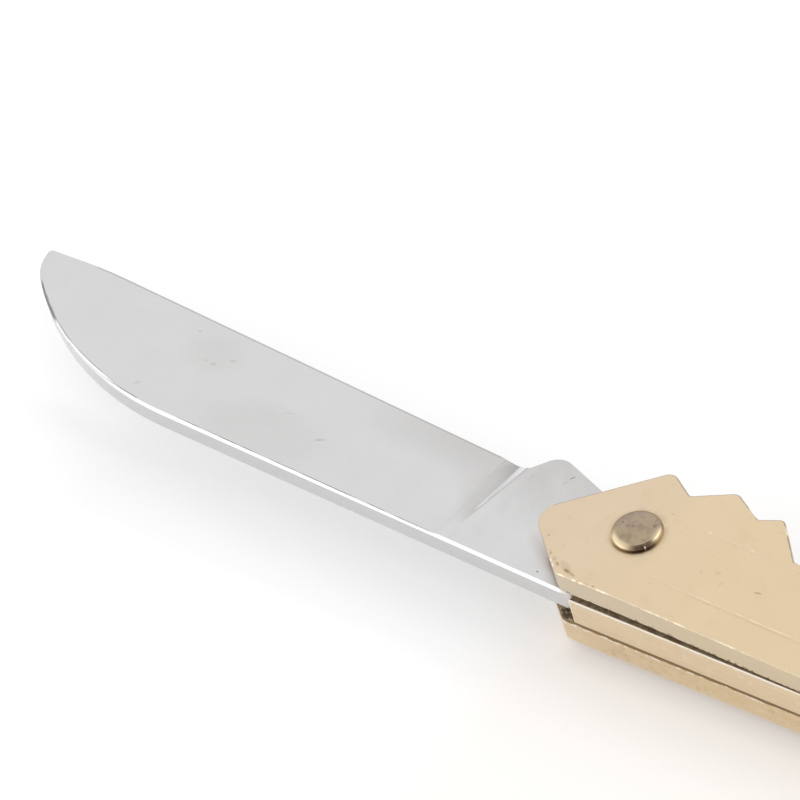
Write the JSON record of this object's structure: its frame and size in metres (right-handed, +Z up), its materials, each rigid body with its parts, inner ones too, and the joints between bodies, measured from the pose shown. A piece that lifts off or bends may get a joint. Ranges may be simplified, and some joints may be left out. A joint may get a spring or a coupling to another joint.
{
  "type": "folding pocket knife",
  "caption": "Small key-shaped folding knife: brass scales cut like a key, steel sheepsfoot blade turning on a rivet, bow with a key ring hole.",
  "frame": {"origin": "middle of the open knife's length and of the bow's width, at the height of the table that the knife lies on", "axes": "+X from the blade's tip to the bow, +Y towards the blade's edge and the teeth, +Z up, square to the scales and along the pivot"},
  "size_m": [0.1018, 0.024, 0.0063],
  "materials": {
    "scale_brass": "satin, lightly worn",
    "spring_brass": "satin",
    "blade_steel": "satin, flat ground",
    "rivet_bronze": "dull, tarnished",
    "washer_brass": "plain"
  },
  "bodies": {
    "handle": {"top_scale": "scale_brass", "bottom_scale": "scale_brass", "back_spring": "spring_brass", "pivot_rivet": "rivet_bronze", "top_washer": "washer_brass", "bottom_washer": "washer_brass", "frame_rivets": "rivet_bronze"},
    "blade": {"blade": "blade_steel"}
  },
  "joints": [
    {"name": "blade_hinge", "type": "hinge", "parent": "handle", "child": "blade", "pos_m": [-0.00687, 0, 0.00308], "axis": [0, 0, 1], "range_deg": [-173.1, 1.6]}
  ]
}
